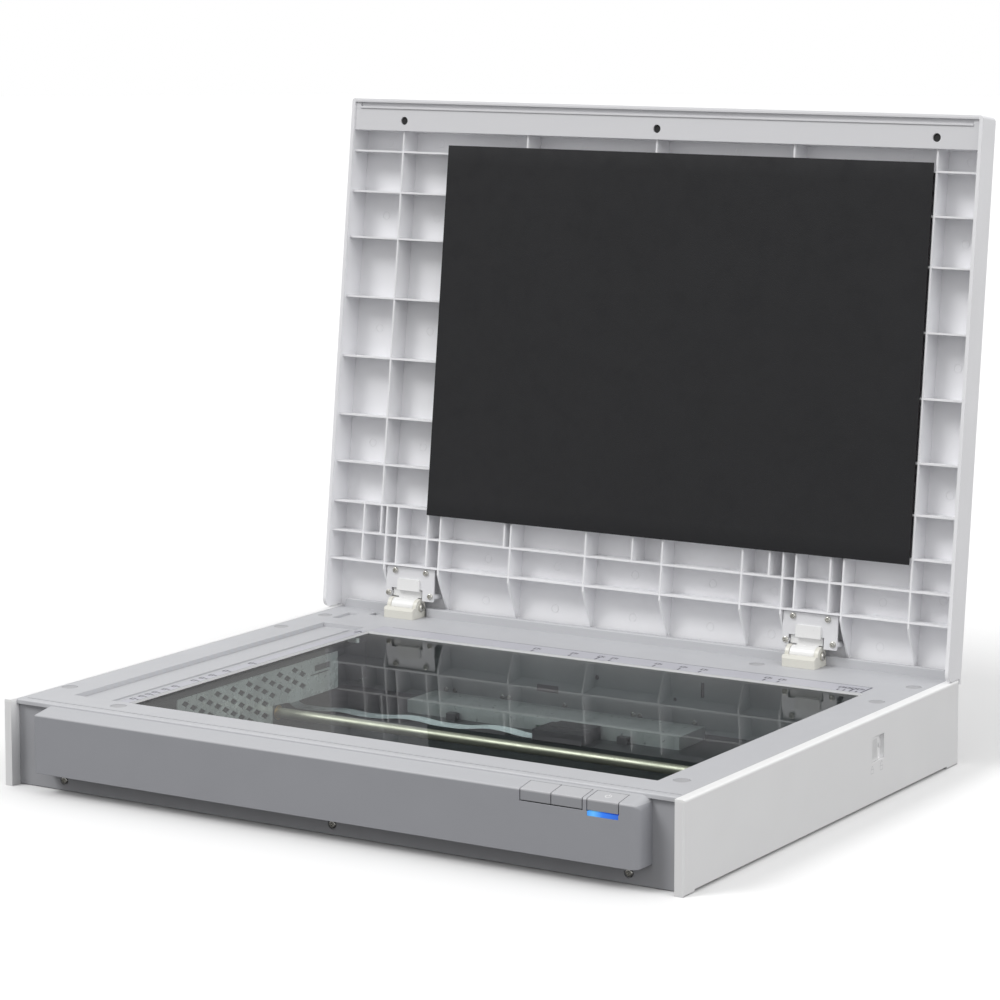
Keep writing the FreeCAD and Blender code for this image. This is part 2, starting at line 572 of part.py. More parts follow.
def riser_sockets():
    """Guide tubes under the deck for the hinge legs."""
    tubes = []
    for a, b in HINGE_BLOCKS:
        x = (a + LEG_INSET, b - LEG_INSET)
        outer = box((x[0] - 2, x[1] + 2), (LEG_Y[0] - 2, LEG_Y[1] + 2), (-50.0, CASE_TOP_Z))
        inner = box((x[0] - 0.2, x[1] + 0.2), (LEG_Y[0] - 0.2, LEG_Y[1] + 0.2),
                    (LEG_BOTTOM - 1, CASE_TOP_Z + 1))
        tubes.append(cut(outer, [inner]))
    return group(tubes)


def rubber_feet():
    places = ((-70.0, -10.0), (448.0, -10.0), (-70.0, 366.0), (448.0, 366.0))
    return group([fillet(rod(7.0, (x, y, GROUND_Z), Z, CASE_BOTTOM_Z - GROUND_Z), 0.5,
                         lambda e: abs(middle(e).z - GROUND_Z) < 1e-6) for x, y in places])


# ---- flat cable ---------------------------------------------------------------------------------
def ribbon(start, heading, steps, thickness, width_y):
    """Flat cable drawn in the XZ plane: steps are ("run", length) or ("turn", radius, degrees).

    A turn is positive to the left of the heading. Each step starts where the last one ended, in its direction.
    """
    pieces = []
    x, z = start
    angle = math.radians(heading)
    half = thickness / 2
    depth = Y * (width_y[1] - width_y[0])
    for step in steps:
        ahead, left = (math.cos(angle), math.sin(angle)), (-math.sin(angle), math.cos(angle))
        if step[0] == "run":
            end = (x + ahead[0] * step[1], z + ahead[1] * step[1])
            corners = [(px + s * half * left[0], width_y[0], pz + s * half * left[1])
                       for px, pz, s in ((x, z, 1), (end[0], end[1], 1), (end[0], end[1], -1), (x, z, -1))]
            pieces.append(prism(corners, depth))
            x, z = end
            continue
        radius, turn = step[1], math.radians(step[2])
        side = math.copysign(1, turn)
        centre = (x + side * radius * left[0], z + side * radius * left[1])
        edges = []
        ends = []
        for r in (radius + half, radius - half):
            spoke = [angle - side * math.pi / 2 + turn * f for f in (0, 0.5, 1)]
            points = [Vector(centre[0] + r * math.cos(s), width_y[0], centre[1] + r * math.sin(s))
                      for s in spoke]
            edges.append(Part.Arc(*points).toShape())
            ends.append((points[0], points[2]))
        edges += [Part.LineSegment(ends[0][i], ends[1][i]).toShape() for i in (0, 1)]
        pieces.append(Part.Face(Part.Wire(Part.__sortEdges__(edges))).extrude(depth))
        angle += turn
        x = centre[0] + radius * math.cos(angle - side * math.pi / 2)
        z = centre[1] + radius * math.sin(angle - side * math.pi / 2)
    return fuse(pieces), (x, z)


CABLE_Y = (278.5, 291.5)
CABLE_THICKNESS = 0.4
CABLE_SKEW = 3.0
CONNECTOR_X = (168.0, 212.0)


def wave(radius, degrees):
    """One low hump in the cable."""
    return [("turn", radius, -degrees), ("turn", radius, 2 * degrees), ("turn", radius, -degrees)]


def ffc_cable():
    """White flat cable: from the connector block along the floor, then a roll up to the carriage."""
    low = CASE_FLOOR_Z + 0.5
    steps = [("run", 6.0)] + wave(95.0, 10) + [("run", 10.0)] + wave(120.0, 8) + [("run", 8.0)]
    steps += wave(90.0, 7) + [("run", 16.0)]
    roll = (CARRIAGE_Z[0] - 0.4 - low) / 2
    steps += [("turn", roll, -180.0), ("run", 12.0)]
    cable, _ = ribbon((CONNECTOR_X[0] - 0.3, low), 180.0, steps, CABLE_THICKNESS, CABLE_Y)
    cable.rotate(Vector(CONNECTOR_X[0], (CABLE_Y[0] + CABLE_Y[1]) / 2, 0), Z, CABLE_SKEW)
    return cable


def connector_block():
    """Black housing on the floor where the flat cable plugs in."""
    body = box(CONNECTOR_X, (285.0 - 11, 304.0 - 0.5), (CASE_FLOOR_Z, -51.5))
    raised = box((CONNECTOR_X[0] + 8, CONNECTOR_X[1]), (287.0, 303.5), (-52.0, -49.7))
    return fuse([body, raised])


# ---- carriage -----------------------------------------------------------------------------------
# Drawn with the tray's outer left face on x = 0; on_carriage() moves a piece to the home position.
def on_carriage(shape):
    shape.translate(Vector(CARRIAGE_HOME_X, 0, 0))
    return shape


BUSH_R = 5.8
BUSH_HOUSINGS = ((0.0, 14.0), (CARRIAGE_WIDTH - 14.0, CARRIAGE_WIDTH))


def carriage_tray():
    """Open-topped optics tray with two bushing housings below its floor."""
    outer = box((0, CARRIAGE_WIDTH), CARRIAGE_Y, CARRIAGE_Z)
    inner = box((CARRIAGE_WALL, CARRIAGE_WIDTH - CARRIAGE_WALL),
                (CARRIAGE_Y[0] + CARRIAGE_WALL, CARRIAGE_Y[1] - CARRIAGE_WALL),
                (CARRIAGE_Z[0] + CARRIAGE_WALL, 0))
    housings = [box(x, (ROD_Y - 8, ROD_Y + 8), (ROD_Z - 7, CARRIAGE_Z[0])) for x in BUSH_HOUSINGS]
    tray = fuse([cut(outer, [inner])] + housings)
    return on_carriage(cut(tray, [rod(BUSH_R + 0.02, (-1, ROD_Y, ROD_Z), X, CARRIAGE_WIDTH + 2)]))


def rod_bushings():
    """Bronze sleeves in the two housings."""
    return group([on_carriage(ring(BUSH_R, ROD_R + 0.03, (a, ROD_Y, ROD_Z), X, b - a))
                  for a, b in BUSH_HOUSINGS])


SLIT_X = (43.0, 53.0)


def carriage_cover():
    """Black top plate with the scan slit."""
    plate = box((0, CARRIAGE_WIDTH), CARRIAGE_Y, (CARRIAGE_Z[1], COVER_TOP))
    return on_carriage(cut(plate, [box(SLIT_X, (0.0, 300.0), (-20, 0))]))


def carriage_glides():
    """Four low-friction pads that ride under the glass."""
    top = GLASS_TOP - GLASS_THICKNESS - 0.1
    pads = [box((x, x + 10), (y, y + 4), (COVER_TOP, top))
            for x in (4.0, CARRIAGE_WIDTH - 11.0) for y in (-4.0, 300.5)]
    return group([on_carriage(fillet(p, 1.5, lambda e: along(e, Z))) for p in pads])


HOLE_PITCH_Y, HOLE_PITCH_Z = 20.2, 4.75
HOLE_HALF_Y, HOLE_HALF_Z = 5.0, 2.9


def carriage_side_plate():
    """Perforated bright sheet on the tray's inner side, stepped at its foot to clear the guide rod."""
    x0, x1 = CARRIAGE_WIDTH, CARRIAGE_WIDTH + 1.0
    outline = [(60.0, -55.0), (60.0, -9.5), (270.0, -9.5), (270.0, -38.8), (206.0, -39.4), (198.0, -38.0),
               (181.0, -37.0), (181.0, -55.0)]
    plate = prism([(x0, y, z) for y, z in outline], X * (x1 - x0))
    plate = fillet(plate, 3.0, lambda e: along(e, X) and middle(e).y < 61)
    holes = []
    for row in range(9):
        z = -14.5 - HOLE_PITCH_Z * row
        for column in range(9):
            y = 70.0 + HOLE_PITCH_Y * column + (HOLE_PITCH_Y / 2 if row % 2 else 0)
            near_step = y > 172 and z < -33
            if y > 224 or near_step:
                continue
            corners = [(y - HOLE_HALF_Y, z + 0.6), (y - 1, z + HOLE_HALF_Z),
                       (y + HOLE_HALF_Y, z - 0.6), (y + 1, z - HOLE_HALF_Z)]
            holes.append(prism([(x0 - 1, cy, cz) for cy, cz in corners], X * 3))
    slots = [box((x0 - 1, x0 + 2), (232.0, 258.0), z) for z in ((-23.2, -22.0),)]
    tab = [box((x0 - 1, x0 + 2), (238.0, 260.0), (-20.5, -15.5))]
    return on_carriage(cut(plate, holes + slots + tab))


def lamp_bar():
    """Light guide beside the slit, held by the tray's end walls."""
    guide = box((SLIT_X[1] + 0.6, SLIT_X[1] + 8.0),
                (CARRIAGE_Y[0] + CARRIAGE_WALL, CARRIAGE_Y[1] - CARRIAGE_WALL), (-18.0, -10.3))
    return on_carriage(fillet(guide, 2.5, lambda e: along(e, Y) and middle(e).x < SLIT_X[1] + 1))


def tilted_strip(centre_x, centre_z, width, degrees):
    strip = box((-width / 2, width / 2), (CARRIAGE_Y[0] + CARRIAGE_WALL, CARRIAGE_Y[1] - CARRIAGE_WALL),
                (-0.9, 0.9))
    strip.rotate(Vector(0, 0, 0), Y, degrees)
    strip.translate(Vector(centre_x, 0, centre_z))
    return on_carriage(strip)


def scan_mirrors():
    return group([tilted_strip(48.0, -24.0, 12.0, 45.0), tilted_strip(9.0, -26.0, 12.0, -38.0),
                  tilted_strip(8.0, -14.5, 7.0, 25.0)])


def lens_barrel():
    """Barrel on a foot, with its front element inside."""
    y, z = 149.0, -26.0
    barrel = rod(7.0, (22.0, y, z), X, 16.0)
    foot = box((24.0, 36.0), (y - 6, y + 6), (CARRIAGE_Z[0] + CARRIAGE_WALL, z - 4.0))
    bores = [rod(5.0, (21.0, y, z), X, 4.0), rod(5.0, (30.0, y, z), X, 9.0)]
    return on_carriage(cut(fuse([barrel, foot]), bores))


def sensor_board():
    board = box((59.0, 60.6), (100.0, 176.0), (CARRIAGE_Z[0] + CARRIAGE_WALL, -18.6))
    chip = box((57.4, 59.0), (112.0, 164.0), (-28.0, -22.0))
    return on_carriage(fuse([board, chip]))


def belt_clamp():
    """Jaw on the tray's front wall that grips the rear strand of the belt."""
    strand = BELT_Y + BELT_R + BELT_THICKNESS / 2
    x = (30.0, 44.0)
    jaw = box(x, (strand - 3.0, CARRIAGE_Y[0]), (BELT_Z[0] + 0.5, BELT_Z[1] + 2.0))
    gap = box((x[0] - 1, x[1] + 1), (strand - 0.6, strand + 0.6), (BELT_Z[0] - 2, BELT_Z[1] + 0.1))
    return on_carriage(cut(jaw, [gap]))


# ---- hinges -------------------------------------------------------------------------------------
def hinge_blocks():
    """Cream risers: a chunky foot on the deck, two round ears, and a leg down into the base."""
    blocks = []
    profile = [(366.0, 0.05), (366.0, 6.6), (368.4, 8.8), (HINGE_Y, 8.8), (385.9, 6.0), (385.9, 0.05)]
    for a, b in HINGE_BLOCKS:
        foot = prism([(a, y, z) for y, z in profile], X * (b - a))
        foot = fillet(foot, 1.5, lambda e: middle(e).y < 366.1 and along(e, Z))
        gap = (a + HINGE_EAR, b - HINGE_EAR)
        foot = cut(foot, [rod(HINGE_KNUCKLE_R + 0.3, (gap[0], HINGE_Y, HINGE_Z), X, gap[1] - gap[0])])
        ears = [rod(HINGE_EAR_R, (x, HINGE_Y, HINGE_Z), X, HINGE_EAR) for x in (a, gap[1])]
        leg = box((a + LEG_INSET, b - LEG_INSET), LEG_Y, (LEG_BOTTOM, 1.0))
        bore = rod(HINGE_PIN_R + 0.03, (a - 1, HINGE_Y, HINGE_Z), X, b - a + 2)
        blocks.append(cut(fuse([foot, leg] + ears), [bore]))
    return group(blocks)


def hinge_pins():
    """Pivot screws: a plain shank through both ears with a domed, cross-cut head on the right."""
    return group([pan_screw((b, HINGE_Y, HINGE_Z), X, head_r=3.4, head_h=2.2, shank_r=HINGE_PIN_R, shank=b - a)
                  for a, b in HINGE_BLOCKS])


def hinge_leaves():
    """White straps: a knuckle round the pin, a strap behind the plate and a tongue over its face."""
    depth, height = lid_axis()
    leaves = []
    for centre, (a, b) in zip(HINGE_CENTRES, HINGE_BLOCKS):
        x = (a + HINGE_EAR + 0.3, b - HINGE_EAR - 0.3)
        tongue = (centre - 11.5, centre + 10.0)
        knuckle = rod(HINGE_KNUCKLE_R, (x[0], depth, height), X, x[1] - x[0])
        strap = box((tongue[0], x[1]), (7.1, 9.6), (height, 23.2))
        wide = box((a + 0.4, b - 0.4), (7.1, 9.6), (height + HINGE_EAR_R + 0.6, 23.2))
        step = box(tongue, (3.2, 9.6), (22.1, 23.2))
        face = box(tongue, (3.2, PLATE_DEPTH[0]), (22.1, 31.8))
        face = fillet(face, 1.0, lambda e: along(e, Y) and middle(e).z > 31)
        bore = rod(HINGE_PIN_R + 0.06, (x[0] - 1, depth, height), X, x[1] - x[0] + 2)
        leaves.append(stand_lid(cut(fuse([knuckle, strap, wide, step, face]), [bore])))
    return group(leaves)


def plate_screw_places():
    """Screw places on each hinge plate: the upper pair is closer together than the lower pair."""
    for centre in HINGE_CENTRES:
        for half, height in ((14.9, 37.9), (20.2, 19.2)):
            yield centre - half, height
            yield centre + half, height


def hinge_plates():
    """Flat metal plates with a cut-out round the knuckle and four screw holes."""
    plates = []
    for (a, b), block in zip(PLATES_X, HINGE_BLOCKS):
        plate = fillet(box((a, b), PLATE_DEPTH, PLATE_H), 1.0, lambda e: along(e, Y))
        cut_out = box((block[0] - 0.5, block[1] + 1.5), (0, 9), (0, CUT_OUT_TOP))
        holes = [rod(1.6, (x, 0, h), Y, 9) for x, h in plate_screw_places() if a < x < b]
        plates.append(stand_lid(cut(plate, [cut_out] + holes)))
    return group(plates)


def hinge_plate_screws():
    return group([stand_lid(pan_screw((x, PLATE_DEPTH[0], h), Y * -1, head_r=2.5, head_h=1.8, shank=5.5))
                  for x, h in plate_screw_places()])


# ---- lid ----------------------------------------------------------------------------------------
def skirt_outline(x):
    """Side skirt: its lower front corner is rounded about the hinge, so that it clears the deck."""
    depth, height = lid_axis()
    reach = depth - LID_RIM
    front = Vector(x, LID_RIM, height)
    turn = Vector(x, depth - reach * math.sqrt(0.5), height - reach * math.sqrt(0.5))
    foot = Vector(x, depth, height - reach)
    corners = [foot, Vector(x, depth + 13.0, height - 5.9), Vector(x, depth + 13.4, height - 5.9),
               Vector(x, depth + 13.4, LID_BOTTOM), Vector(x, LID_BACK, LID_BOTTOM),
               Vector(x, LID_BACK, LID_TOP), Vector(x, LID_RIM, LID_TOP), front]
    edges = [Part.Arc(front, turn, foot).toShape()]
    edges += [Part.LineSegment(p, q).toShape() for p, q in zip(corners, corners[1:])]
    return Part.Face(Part.Wire(Part.__sortEdges__(edges)))


def foot_rib(x):
    """Rib below the lower long rib: full depth above, running out to a point near the bottom edge."""
    back = LID_BACK - LID_SKIN + 0.5
    top = LONG_RIBS[0]
    outline = [(RIB_FRONT, top), (RIB_FRONT, 38.0), (7.0, 29.0), (back - 1.5, 7.0), (back, 7.0), (back, top)]
    return prism([(x - RIB / 2, depth, height) for depth, height in outline], X * RIB)


def lid_shell():
    """Moulded cover: outer skin, skirts, a flat front band with a groove, and a grid of ribs."""
    skin_depth = (LID_BACK - LID_SKIN, LID_BACK)
    width = (LEFT_X, RIGHT_X)
    inside = (LEFT_X + LID_SKIRT, RIGHT_X - LID_SKIRT)
    body = skirt_outline(LEFT_X).extrude(X * (RIGHT_X - LEFT_X))
    body = fillet(body, LID_EDGE_R, lambda e: (along(e, X) and middle(e).y > LID_BACK - 0.1
                                               and middle(e).z > LID_TOP - 0.1))
    body = fillet(body, 2.5, lambda e: along(e, Z) and middle(e).y > LID_BACK - 0.1)
    hollow = box(inside, (LID_RIM - 1, skin_depth[0]), (LID_BOTTOM - 5, LID_TOP - LID_SKIRT))
    shell = cut(body, [hollow])
    band = box((inside[0] - 1, inside[1] + 1), (0.0, skin_depth[0] + 0.5),
               (BAND_BOTTOM, LID_TOP - LID_SKIRT + 0.5))
    band_hollow = box((inside[0] + 2, inside[1] - 2), (2.0, skin_depth[0]), (BAND_BOTTOM + 2, LID_TOP - 7.5))
    groove = box((inside[0] + 5, inside[1] - 5), (-1.0, 1.6), (LID_TOP - 6.5, LID_TOP - LID_SKIRT))
    lip = box((inside[0] + 5, inside[1] - 5), (-0.8, 0.5), (LID_TOP - 8.0, LID_TOP - 6.5))
    back = skin_depth[0] + 0.5
    ribs = [box((inside[0] - 1, inside[1] + 1), (RIB_FRONT, back), (h - RIB / 2, h + RIB / 2))
            for h in ROW_RIBS + LONG_RIBS]
    low, high = LONG_RIBS
    ribs += [box((x - RIB / 2, x + RIB / 2), (RIB_FRONT, back), (high, BAND_BOTTOM + 1)) for x in COLUMN_RIBS]
    ribs += [box((x - RIB / 2, x + RIB / 2), (RIB_FRONT, back), (low, ROW_RIBS[0]))
             for x in SHORT_COLUMNS + FOOT_COLUMNS]
    ribs += [foot_rib(x) for x in FOOT_COLUMNS]
    pads = [rod(2.5, (x, PLATE_DEPTH[1], h), Y, back - PLATE_DEPTH[1]) for x, h in plate_screw_places()]
    bosses = [rod(BUFFER_R + 1.6, (x, 0.5, BUFFER_H), Y, 10.0) for x in BUFFER_X]
    shell = fuse([shell, cut(band, [band_hollow]), lip] + bosses + ribs + pads)
    tools = [groove] + [rod(BUFFER_R, (x, -2, BUFFER_H), Y, 8.0) for x in BUFFER_X]
    tools += [rod(1.4, (x, PLATE_DEPTH[1] - 1, h), Y, 6.6) for x, h in plate_screw_places()]
    return stand_lid(cut(shell, tools))


def lid_buffers():
    """Dark rubber plugs set into the three holes of the band, their tips 1 mm below its face."""
    plugs = []
    for x in BUFFER_X:
        plug = rod(BUFFER_R, (x, 1.2, BUFFER_H), Y, 4.8)
        plugs.append(stand_lid(fillet(plug, 0.8, lambda e: middle(e).y < 1.3 and not along(e, Y))))
    return group(plugs)


def document_mat():
    return stand_lid(box(MAT_X, (0.0, MAT_THICKNESS), MAT_H))


def mat_foam():
    """Foam layer between the mat and the ribs."""
    inset = 8.0
    return stand_lid(box((MAT_X[0] + inset, MAT_X[1] - inset), (MAT_THICKNESS, RIB_FRONT),
                         (MAT_H[0] + inset, MAT_H[1] - inset)))


def deck_screw_caps():
    caps = [fillet(rod(CAP_R - 0.1, (x, y, -CAP_DEPTH), Z, CAP_DEPTH - 0.35), 0.3, lambda e: middle(e).z > -0.5)
            for x, y in CAP_PLACES]
    return group(caps)


def front_bar_screws():
    return group([pan_screw((x, CASE_FRONT_Y + 0.9, BAR_SCREW_Z), Y * -1,
                            head_r=2.9, head_h=1.6, shank_r=1.4, shank=6.0) for x in BAR_SCREWS])


def wall_screws():
    row = [pan_screw((x, 362.0, WALL_SCREW_Z), Y * -1, head_r=2.2, head_h=1.4, shank_r=1.2, shank=5.0)
           for x in WALL_SCREWS]
    on_bracket = pan_screw((-53.5, 360.5, -42.0), Y * -1, head_r=2.4, head_h=1.5, shank_r=1.3, shank=1.4)
    return group(row + [on_bracket])


def platen_glass():
    lap = GLASS_LAP - 0.1
    return box((WINDOW_X[0] - lap, WINDOW_X[1] + lap), (WINDOW_Y[0] - lap, WINDOW_Y[1] + lap),
               (GLASS_TOP - GLASS_THICKNESS, GLASS_TOP))


def main():
    os.makedirs("parts", exist_ok=True)
    nodes = {
        "bottom_case": bottom_case(), "top_frame": top_frame(), "platen_glass": platen_glass(),
        "rear_size_scale": size_scale(REAR_SCALE), "left_size_scale": size_scale(LEFT_SCALE),
        "left_side_panel": side_panel(LEFT_X, CASE_X[0]), "right_side_panel": right_side_panel(),
        "lock_slider": lock_slider(), "deck_screw_caps": deck_screw_caps(), "front_bar": front_bar(),
        "front_bar_screws": front_bar_screws(), "led_light_pipe": led_light_pipe(),
        "button_board": button_board(), "button_switches": button_switches(), "rubber_feet": rubber_feet(),
        "rear_wall_plate": rear_wall_plate(), "rear_wall_screws": wall_screws(),
        "corner_bracket": corner_bracket(),
        "mainboard_shield": mainboard_shield(), "main_board": main_board(), "port_board": port_board(),
        "power_inlet": power_inlet(), "data_port": data_port(), "guide_rod": guide_rod(),
        "rod_holders": rod_holders(), "cable_clips": cable_clips(), "calibration_strip": calibration_strip(),
        "stepper_motor": stepper_motor(), "motor_shaft": motor_shaft(),
        "drive_pulley": toothed_pulley(PULLEY_X["drive"], 1.52),
        "idler_pulley": toothed_pulley(PULLEY_X["idler"], 1.56),
        "idler_bracket": idler_bracket(), "drive_belt": drive_belt(), "tension_spring": tension_spring(),
        "riser_sockets": riser_sockets(), "ffc_cable": ffc_cable(), "cable_connector": connector_block(),
        "carriage_tray": carriage_tray(), "carriage_cover": carriage_cover(),
        "carriage_side_plate": carriage_side_plate(), "carriage_glides": carriage_glides(),
        "rod_bushings": rod_bushings(), "lamp_bar": lamp_bar(), "scan_mirrors": scan_mirrors(),
        "lens_barrel": lens_barrel(), "sensor_board": sensor_board(), "belt_clamp": belt_clamp(),
        "hinge_blocks": hinge_blocks(), "hinge_pins": hinge_pins(), "hinge_leaves": hinge_leaves(),
        "hinge_plates": hinge_plates(), "hinge_plate_screws": hinge_plate_screws(), "lid_shell": lid_shell(),
        "document_mat": document_mat(), "mat_foam": mat_foam(), "lid_buffers": lid_buffers(),
    }
    for name in BUTTON_SPANS:
        nodes[name] = button(name)
    for name, shape in nodes.items():
        export(name, shape)
    print(len(nodes), "nodes")


main()
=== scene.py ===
"""Looks for the A3 flatbed scanner: finishes, marks, the lid's soft parts, floor, light and camera."""

import json
import math

import bmesh
import bpy
from mathutils import Matrix, Vector


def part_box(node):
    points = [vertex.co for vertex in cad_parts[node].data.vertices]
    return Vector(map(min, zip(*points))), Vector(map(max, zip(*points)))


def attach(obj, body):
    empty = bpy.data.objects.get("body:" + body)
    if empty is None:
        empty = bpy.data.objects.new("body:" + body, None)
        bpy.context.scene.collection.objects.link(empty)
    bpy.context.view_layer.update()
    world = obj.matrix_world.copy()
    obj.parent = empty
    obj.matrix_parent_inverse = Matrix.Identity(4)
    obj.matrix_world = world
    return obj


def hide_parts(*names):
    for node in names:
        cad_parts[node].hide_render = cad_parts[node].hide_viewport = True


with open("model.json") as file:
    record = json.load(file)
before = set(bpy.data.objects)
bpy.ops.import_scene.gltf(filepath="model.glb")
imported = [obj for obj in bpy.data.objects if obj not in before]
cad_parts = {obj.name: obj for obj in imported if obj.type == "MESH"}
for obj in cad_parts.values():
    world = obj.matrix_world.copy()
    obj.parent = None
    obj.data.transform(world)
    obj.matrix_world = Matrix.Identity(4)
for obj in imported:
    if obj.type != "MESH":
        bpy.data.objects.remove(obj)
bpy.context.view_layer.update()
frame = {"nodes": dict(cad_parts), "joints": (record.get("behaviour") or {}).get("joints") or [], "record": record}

MM = 0.001

# ---- places taken from the frame ----------------------------------------------------------------
glass_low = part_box("platen_glass")[0]
scale_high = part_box("rear_size_scale")[1]
panel_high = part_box("right_side_panel")[1]
hinge = next(j for j in frame["joints"] if j["name"] == "lid_hinge")
GLASS_LAP_X, GLASS_LAP_Y = 15.4, 5.9        # mm from the glass's corner to the scan area's corner
DECK_Z = scale_high.z + 0.05 * MM           # the printed strips lie this little below the deck
SCAN_CORNER = Vector((glass_low.x + GLASS_LAP_X * MM, glass_low.y + GLASS_LAP_Y * MM, DECK_Z))
LID_LEAN = math.radians(6.556)              # the open lid leans this far back
PIN_BACK, PIN_UP = 7.1, 8.5                 # mm back and up from the open lid's own corner to its hinge pins
LID_TOP, LID_BACK = 426.0, 24.0             # mm from the lid's own corner to its free edge and outer face
BAND_LOW = (-92.0, -2.0, 400.0)             # the flat band along the lid's free edge, in the lid's mm
BAND_HIGH = (469.5, 6.0, LID_TOP - 1.6)
HIGHLIT_WALLS_LOW = (-9.9, -0.4, -2.3)              # the moulded walls round the glass, painted bright as a highlight, in the deck's mm
HIGHLIT_WALLS_HIGH = (432.4, 311.2, -0.2)
FACE_DROP = 6.0                             # mm below the deck, where the front bar's painted light changes from shaded face to lit top
FAR = 9.0                                   # metres: beyond every part of the scanner
LID_ORIGIN = Vector((SCAN_CORNER.x, hinge["pos_m"][1] - PIN_BACK * MM, hinge["pos_m"][2] - PIN_UP * MM))

# Both frames are in millimetres: (right, back, up) from the scan area's corner on the deck, and
# (right, into the lid from its mat, up the lid) on the open lid.
DECK = Matrix.Translation(SCAN_CORNER) @ Matrix.Scale(MM, 4)
LID = Matrix.Translation(LID_ORIGIN) @ Matrix.Rotation(-LID_LEAN, 4, "X") @ Matrix.Scale(MM, 4)


# ---- finishes -----------------------------------------------------------------------------------
NOISE_LOW, NOISE_HIGH = 0.3, 0.7            # most noise values lie between these


def noise(tree, place, scale, detail=2.0, stretch=(1, 1, 1)):
    """Noise value over object space: scale is in features per metre, a stretch below 1 draws them out."""
    mapping = tree.nodes.new("ShaderNodeMapping")
    mapping.inputs["Scale"].default_value = stretch
    texture = tree.nodes.new("ShaderNodeTexNoise")
    texture.inputs["Scale"].default_value = scale
    texture.inputs["Detail"].default_value = detail
    tree.links.new(place, mapping.inputs["Vector"])
    tree.links.new(mapping.outputs["Vector"], texture.inputs["Vector"])
    return texture.outputs["Fac"]


def ramp(tree, value, stops):
    """Colour ramp with (position, colour) stops."""
    node = tree.nodes.new("ShaderNodeValToRGB")
    elements = node.color_ramp.elements
    while len(elements) < len(stops):
        elements.new(0.5)
    for element, (position, colour) in zip(elements, stops):
        element.position = position
        element.color = (*colour, 1.0)
    tree.links.new(value, node.inputs["Fac"])
    return node.outputs["Color"]


def spread(tree, value, low, high):
    """Maps the middle of the noise's range to low..high."""
    node = tree.nodes.new("ShaderNodeMapRange")
    node.inputs["From Min"].default_value = NOISE_LOW
    node.inputs["From Max"].default_value = NOISE_HIGH
    node.inputs["To Min"].default_value = low
    node.inputs["To Max"].default_value = high
    tree.links.new(value, node.inputs["Value"])
    return node.outputs["Result"]


def finish(name, colour, roughness, metallic=0.0, mottle=0.03, patch=0.05, grain=0.0005, relief=0.15,
           rough_spread=0.06, stretch=(1, 1, 1), edge=0.0, specular=0.5, coat=0.0):
    """Solid finish: large soft patches of tone, uneven gloss, and a fine grain with optional direction.

    mottle is how far the tone varies, patch and grain are sizes in metres, relief is the grain's bump
    strength, stretch lengthens the grain along an axis, edge rounds sharp edges by that radius.
    """
    material = bpy.data.materials.new(name)
    material.use_nodes = True
    tree = material.node_tree
    shader = tree.nodes["Principled BSDF"]
    shader.inputs["Metallic"].default_value = metallic
    shader.inputs["Specular IOR Level"].default_value = specular
    shader.inputs["Coat Weight"].default_value = coat
    place = tree.nodes.new("ShaderNodeTexCoord").outputs["Object"]
    large = noise(tree, place, 1 / patch, detail=5.0)
    fine = noise(tree, place, 1 / grain, detail=2.0, stretch=stretch)
    dark = tuple(c * (1 - mottle) for c in colour)
    light = tuple(min(1.0, c * (1 + mottle)) for c in colour)
    tone = ramp(tree, large, [(NOISE_LOW, dark), (NOISE_HIGH, light)])
    tree.links.new(tone, shader.inputs["Base Color"])
    uneven = noise(tree, place, 3 / patch, detail=6.0)
    low, high = max(0.02, roughness - rough_spread), roughness + rough_spread
    tree.links.new(spread(tree, uneven, low, high), shader.inputs["Roughness"])
    bump = tree.nodes.new("ShaderNodeBump")
    bump.inputs["Strength"].default_value = relief
    bump.inputs["Distance"].default_value = grain * 0.3
    tree.links.new(fine, bump.inputs["Height"])
    if edge:
        bevel = tree.nodes.new("ShaderNodeBevel")
        bevel.samples = 4
        bevel.inputs["Radius"].default_value = edge
        tree.links.new(bevel.outputs["Normal"], bump.inputs["Normal"])
    tree.links.new(bump.outputs["Normal"], shader.inputs["Normal"])
    return material


def platen_finish():
    """Float glass: clear with a faint green-grey body, and a Fresnel reflection on its outer faces only."""
    material = bpy.data.materials.new("platen_glass")
    material.use_nodes = True
    tree = material.node_tree
    tree.nodes.remove(tree.nodes["Principled BSDF"])
    clear = tree.nodes.new("ShaderNodeBsdfTransparent")
    gloss = tree.nodes.new("ShaderNodeBsdfGlossy")
    gloss.inputs["Roughness"].default_value = 0.015
    place = tree.nodes.new("ShaderNodeTexCoord").outputs["Object"]
    haze = noise(tree, place, 30.0, detail=4.0)
    tint = ramp(tree, haze, [(NOISE_LOW, (0.88, 0.915, 0.91)), (NOISE_HIGH, (0.905, 0.935, 0.93))])
    tree.links.new(tint, clear.inputs["Color"])
    fresnel = tree.nodes.new("ShaderNodeFresnel")
    fresnel.inputs["IOR"].default_value = 1.19
    geometry = tree.nodes.new("ShaderNodeNewGeometry")
    outside = tree.nodes.new("ShaderNodeMath")
    outside.operation = "SUBTRACT"
    outside.inputs[0].default_value = 1.0
    tree.links.new(geometry.outputs["Backfacing"], outside.inputs[1])
    amount = tree.nodes.new("ShaderNodeMath")
    amount.operation = "MULTIPLY"
    tree.links.new(fresnel.outputs["Fac"], amount.inputs[0])
    tree.links.new(outside.outputs["Value"], amount.inputs[1])
    mix = tree.nodes.new("ShaderNodeMixShader")
    tree.links.new(amount.outputs["Value"], mix.inputs["Fac"])
    tree.links.new(clear.outputs["BSDF"], mix.inputs[1])
    tree.links.new(gloss.outputs["BSDF"], mix.inputs[2])
    tree.links.new(mix.outputs["Shader"], tree.nodes["Material Output"].inputs["Surface"])
    return material


